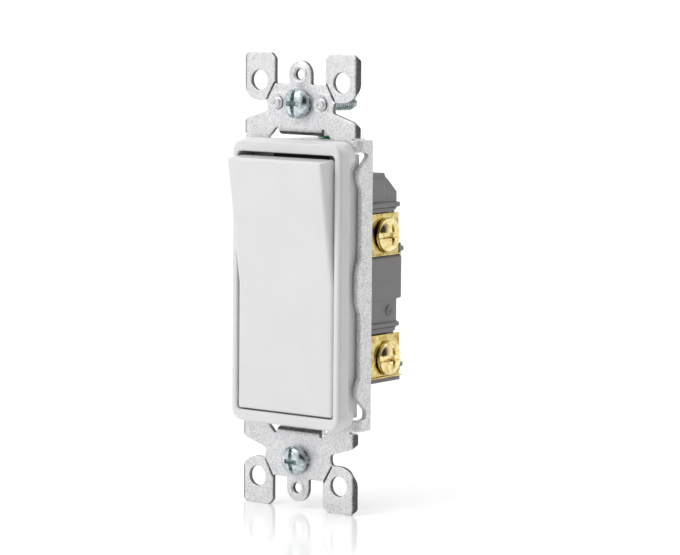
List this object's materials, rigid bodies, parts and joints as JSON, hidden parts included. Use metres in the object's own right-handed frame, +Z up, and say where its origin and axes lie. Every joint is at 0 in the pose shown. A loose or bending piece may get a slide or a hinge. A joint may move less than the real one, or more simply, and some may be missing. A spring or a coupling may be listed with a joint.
{
  "type": "paddle wall switch",
  "caption": "Single-pole paddle wall switch on a steel strap, with a tilting paddle in a rectangular frame and side screw terminals.",
  "frame": {"origin": "centre of the strap's rear plane, the plane that lies against the wall box", "axes": "+Z up along the strap, -Y out of the wall towards the user, +X to the side with the terminal screws"},
  "size_m": [0.0351, 0.0309, 0.1064],
  "materials": {
    "zinc_sheet": "galvanised, satin, fine grain",
    "zinc_screw": "bright zinc plate",
    "white_moulding": "smooth gloss",
    "grey_moulding": "fine matt",
    "black_moulding": "matt",
    "copper_alloy": "bright rolled",
    "silver_alloy": "bright",
    "spring_steel": "bright drawn",
    "brass": "bright stamped",
    "brass_screw": "bright",
    "green_screw": "green chromate, satin",
    "fibre": "matt vulcanised fibre",
    "soft_pad": "matt foam"
  },
  "bodies": {
    "housing": {"strap": "zinc_sheet", "front_frame": "white_moulding", "rear_body": "grey_moulding", "mechanism_cover": "grey_moulding", "line_terminal": "brass", "load_terminal": "brass", "fixed_contact": "silver_alloy", "contact_spring": "spring_steel", "line_wire_clamp": "spring_steel", "load_wire_clamp": "spring_steel", "ground_bracket": "zinc_sheet", "ground_rivet_left": "zinc_screw", "ground_rivet_right": "zinc_screw", "screw_washer_top": "fibre", "screw_washer_bottom": "fibre", "bumper_upper": "soft_pad", "bumper_lower": "soft_pad"},
    "paddle": {"rocker_paddle": "white_moulding"},
    "actuator": {"contact_actuator": "black_moulding"},
    "contact_arm": {"moving_contact_arm": "copper_alloy", "moving_contact": "silver_alloy"},
    "top_mounting_screw": {"mounting_screw_top": "zinc_screw"},
    "bottom_mounting_screw": {"mounting_screw_bottom": "zinc_screw"},
    "line_screw": {"line_terminal_screw": "brass_screw"},
    "load_screw": {"load_terminal_screw": "brass_screw"},
    "green_screw": {"ground_screw": "green_screw"}
  },
  "joints": [
    {"name": "paddle_rock", "type": "hinge", "parent": "housing", "child": "paddle", "pos_m": [0, -0.002, 0], "axis": [-1, 0, 0], "range_deg": [0, 9]},
    {"name": "actuator_rock", "type": "hinge", "parent": "housing", "child": "actuator", "pos_m": [0, 0.008, 0], "axis": [1, 0, 0], "range_deg": [0, 13.5]},
    {"name": "contact_arm_swing", "type": "hinge", "parent": "housing", "child": "contact_arm", "pos_m": [0, 0.0115, 0.012], "axis": [1, 0, 0], "range_deg": [0, 4.75], "deforming": ["contact_spring"]},
    {"name": "top_mounting_screw_turn", "type": "hinge", "parent": "housing", "child": "top_mounting_screw", "pos_m": [0, -0.00195, 0.04167], "axis": [0, -0.9997, 0.0262], "continuous": true},
    {"name": "bottom_mounting_screw_turn", "type": "hinge", "parent": "housing", "child": "bottom_mounting_screw", "pos_m": [0, -0.00195, -0.04167], "axis": [0, -0.9945, -0.1045], "continuous": true},
    {"name": "line_screw_turn", "type": "hinge", "parent": "housing", "child": "line_screw", "pos_m": [0.0152, 0.0124, 0.0112], "axis": [1, 0, 0], "continuous": true},
    {"name": "load_screw_turn", "type": "hinge", "parent": "housing", "child": "load_screw", "pos_m": [0.0158, 0.0124, -0.0176], "axis": [1, 0, 0], "continuous": true},
    {"name": "ground_screw_turn", "type": "hinge", "parent": "housing", "child": "green_screw", "pos_m": [0.0016, 0.0089, 0.0336], "axis": [0, 0, 1], "continuous": true}
  ],
  "couplings": [
    {"joint": "actuator_rock", "follows": "paddle_rock", "ratio": 1.5},
    {"joint": "contact_arm_swing", "follows": "paddle_rock", "ratio": 0.5277}
  ]
}
